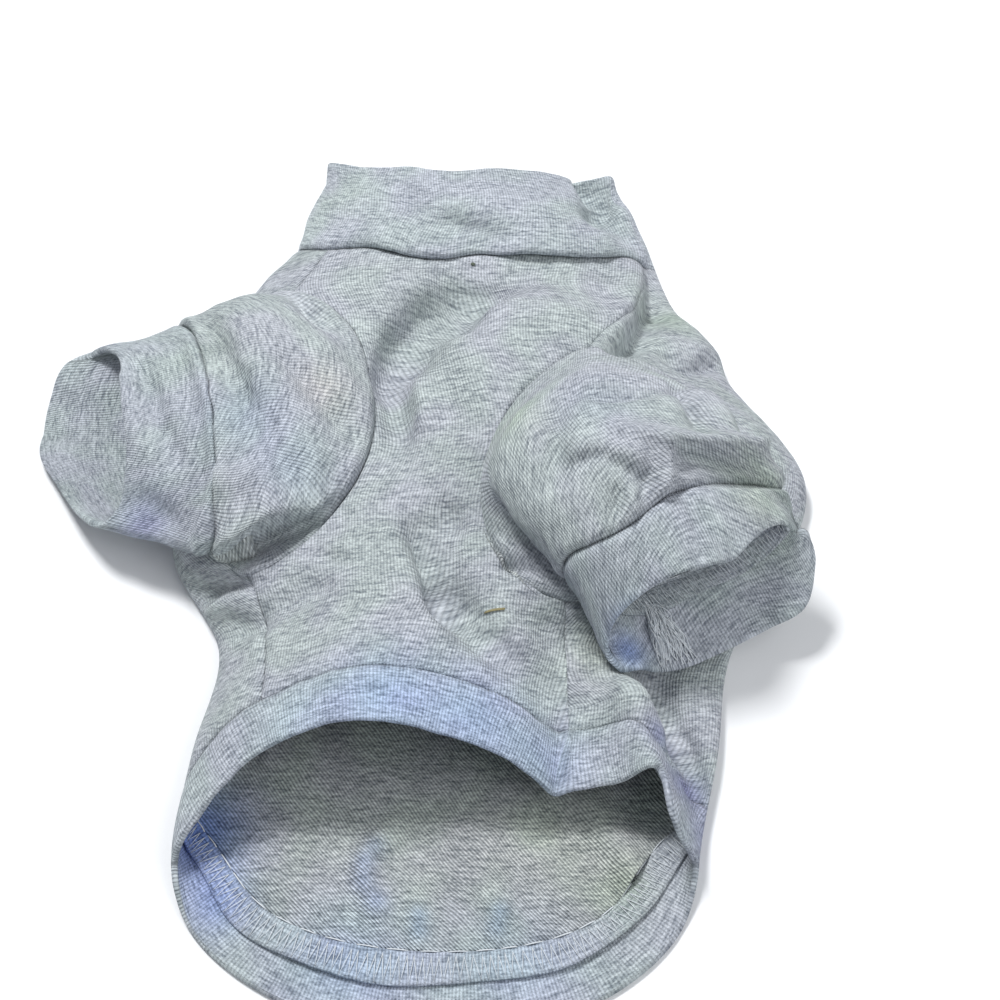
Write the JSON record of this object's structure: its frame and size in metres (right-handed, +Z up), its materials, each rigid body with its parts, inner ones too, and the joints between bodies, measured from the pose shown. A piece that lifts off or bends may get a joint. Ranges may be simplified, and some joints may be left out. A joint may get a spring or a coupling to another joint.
{
  "type": "dog t-shirt",
  "caption": "Dog's T-shirt of grey jersey lying belly side up: short chest panel, long back panel with a round tail, sleeves with cuff bands, doubled collar and banded hem.",
  "frame": {"origin": "middle of the laid shirt's bounding box in plan, on the surface that it lies on", "axes": "+Y runs from the tail of the back panel to the collar, +X to the right of the shirt as it lies belly side up, +Z up"},
  "size_m": [0.2606, 0.3262, 0.0674],
  "materials": {
    "jersey": "grey heather single jersey of cotton mix, matt, soft and a little pilled",
    "doubled_jersey": "the same grey heather jersey folded double for the bands, matt"
  },
  "bodies": {
    "root": {"chest_panel": "jersey", "back_panel": "jersey", "sleeve_left": "jersey", "sleeve_right": "jersey", "hem_band": "doubled_jersey", "cuff_left": "doubled_jersey", "cuff_right": "doubled_jersey", "collar": "doubled_jersey"}
  },
  "joints": []
}
